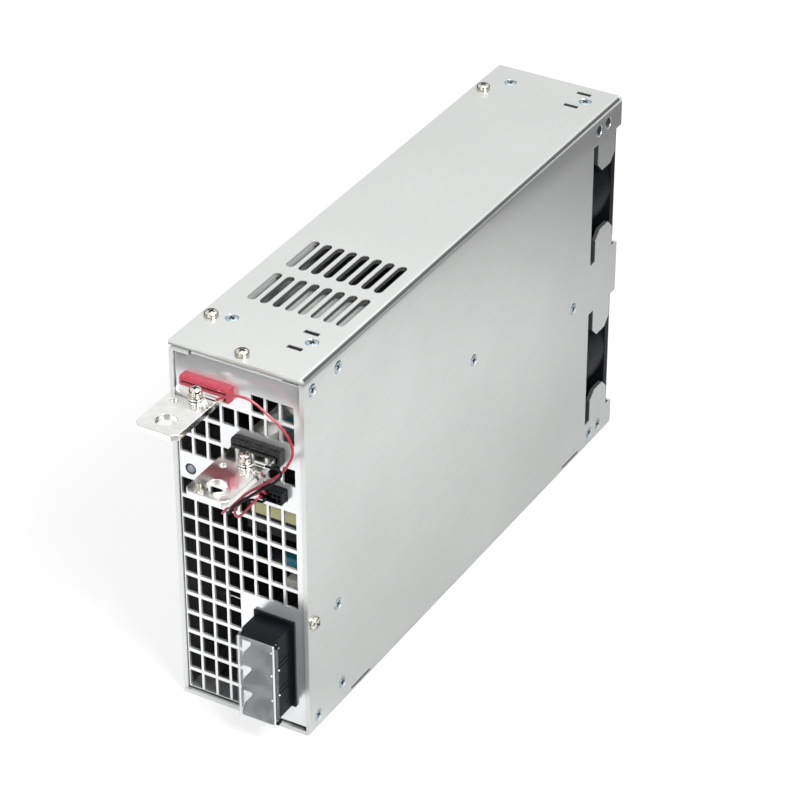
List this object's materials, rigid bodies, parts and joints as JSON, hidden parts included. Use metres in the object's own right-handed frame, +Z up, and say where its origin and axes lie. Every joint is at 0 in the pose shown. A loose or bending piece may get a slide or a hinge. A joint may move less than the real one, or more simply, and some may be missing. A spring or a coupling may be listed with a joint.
{
  "type": "ac-dc power supply",
  "caption": "Enclosed fan-cooled switching power supply: folded sheet-metal case, perforated front, flat output bus bars, screw-terminal mains block.",
  "frame": {"origin": "middle of the case's bottom face (the sheet the supply stands on)", "axes": "+Z up, -Y towards the terminal and grille end, +Y towards the fans, +X towards the chassis side wall with the screw heads"},
  "size_m": [0.0658, 0.3226, 0.18],
  "materials": {
    "galvanised_sheet": "zinc coated sheet, satin",
    "panel_sheet": "bright zinc coated sheet",
    "blue_zinc_screw": "blue passivated zinc",
    "nickel_screw": "nickel plated",
    "guard_wire": "plated wire",
    "tinned_copper": "tin plated copper, satin",
    "red_plastic": "satin moulded",
    "black_plastic": "satin moulded",
    "clear_plastic": "clear moulded polycarbonate",
    "lamp_lens": "clear lens, unlit",
    "board_laminate": "green solder mask",
    "capacitor_sleeve": "shrink sleeve",
    "ferrite": "sintered ferrite",
    "winding_tape": "polyester tape",
    "enamelled_copper": "enamelled copper wire",
    "aluminium": "extruded, plain"
  },
  "bodies": {
    "case": {"board_screw_bottom": "blue_zinc_screw", "board_screw_front": "blue_zinc_screw", "board_screw_rear": "blue_zinc_screw", "board_screw_upper": "blue_zinc_screw", "boost_choke": "enamelled_copper", "bulk_capacitor_front": "capacitor_sleeve", "bulk_capacitor_rear": "capacitor_sleeve", "chassis_shell": "galvanised_sheet", "cover_screw_front": "nickel_screw", "cover_screw_rear": "nickel_screw", "filter_choke": "enamelled_copper", "front_panel": "panel_sheet", "lower_fan_frame": "black_plastic", "lower_finger_guard": "guard_wire", "main_board": "board_laminate", "mains_contact_1": "tinned_copper", "mains_contact_2": "tinned_copper", "mains_contact_3": "tinned_copper", "mains_screw_1": "nickel_screw", "mains_screw_2": "nickel_screw", "mains_screw_3": "nickel_screw", "mains_terminal_block": "black_plastic", "negative_busbar": "tinned_copper", "negative_insulator": "black_plastic", "negative_sense_lug": "tinned_copper", "negative_sense_screw": "nickel_screw", "negative_sense_wire": "black_plastic", "output_heatsink": "aluminium", "panel_screw_top": "nickel_screw", "positive_busbar": "tinned_copper", "positive_insulator": "red_plastic", "positive_sense_lug": "tinned_copper", "positive_sense_screw": "nickel_screw", "positive_sense_wire": "red_plastic", "rear_panel": "galvanised_sheet", "remote_link_wire": "red_plastic", "side_cover": "galvanised_sheet", "side_panel_screw": "nickel_screw", "side_screw_front_bottom": "blue_zinc_screw", "side_screw_front_top": "blue_zinc_screw", "side_screw_plate_top": "blue_zinc_screw", "side_screw_rear_bottom_a": "blue_zinc_screw", "side_screw_rear_bottom_b": "blue_zinc_screw", "side_screw_rear_top_a": "blue_zinc_screw", "side_screw_rear_top_b": "blue_zinc_screw", "signal_connector": "black_plastic", "status_lamp": "lamp_lens", "switch_heatsink": "aluminium", "top_front_screw_left": "blue_zinc_screw", "top_front_screw_right": "blue_zinc_screw", "top_rear_screw_left": "blue_zinc_screw", "top_rear_screw_right": "blue_zinc_screw", "transformer_core": "ferrite", "transformer_winding": "winding_tape", "upper_fan_frame": "black_plastic", "upper_finger_guard": "guard_wire"},
    "upper_rotor": {"upper_fan_rotor": "black_plastic"},
    "lower_rotor": {"lower_fan_rotor": "black_plastic"},
    "terminal_cover": {"mains_terminal_cover": "clear_plastic"}
  },
  "joints": [
    {"name": "upper_fan_spin", "type": "hinge", "parent": "case", "child": "upper_rotor", "pos_m": [0, 0.1248, 0.1328], "axis": [0, 1, 0], "continuous": true},
    {"name": "lower_fan_spin", "type": "hinge", "parent": "case", "child": "lower_rotor", "pos_m": [0, 0.1248, 0.045], "axis": [0, 1, 0], "continuous": true},
    {"name": "terminal_cover_hinge", "type": "hinge", "parent": "case", "child": "terminal_cover", "pos_m": [0.0241, -0.1522, 0.0341], "axis": [0, 0, 1], "range_deg": [0, 110]}
  ]
}
